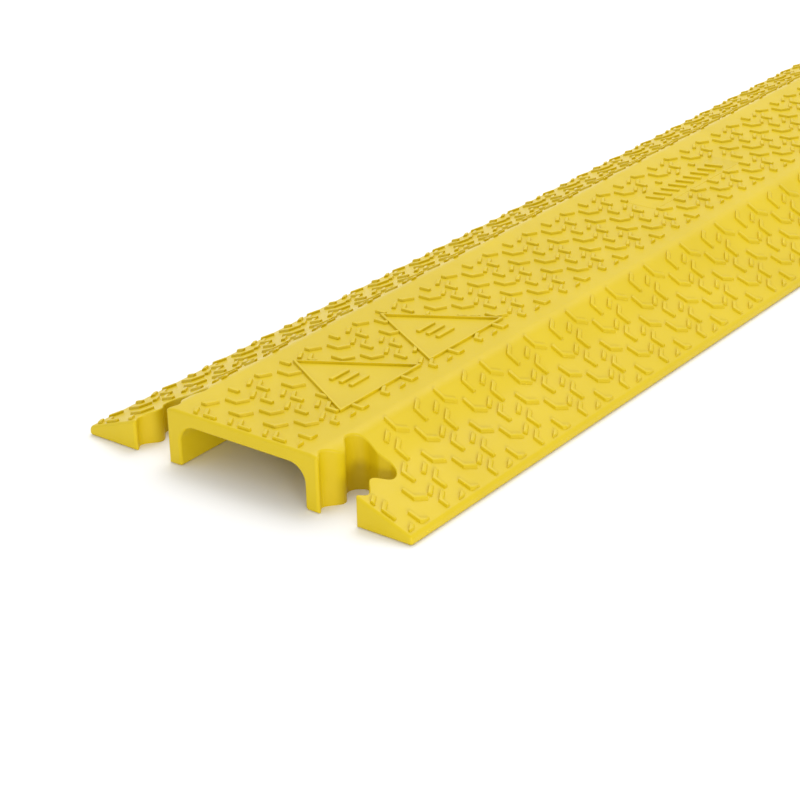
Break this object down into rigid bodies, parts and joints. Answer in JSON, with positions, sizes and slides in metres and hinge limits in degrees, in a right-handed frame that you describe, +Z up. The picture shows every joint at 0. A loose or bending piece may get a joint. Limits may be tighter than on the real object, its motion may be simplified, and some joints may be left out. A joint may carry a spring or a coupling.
{
  "type": "drop-over cable protector ramp",
  "caption": "Run of two interlocking moulded ramp sections that drop over cables: raised deck on legs over an open channel, a tread ramp on each side, dog-bone couplings at the ends.",
  "frame": {"origin": "on the floor, in the middle of the run's length and width", "axes": "+X across the ramp, +Y along the run and the cable channel towards the tongued end, +Z up"},
  "size_m": [0.26, 2.0432, 0.0408],
  "materials": {
    "moulded_yellow": "moulded polyurethane, semi-gloss"
  },
  "bodies": {
    "near_section": {"near_section": "moulded_yellow"},
    "far_section": {"far_section": "moulded_yellow"}
  },
  "joints": [
    {"name": "far_section_lift", "type": "slide", "parent": "near_section", "child": "far_section", "axis": [0, 0, 1], "range_m": [0, 0.06]}
  ]
}
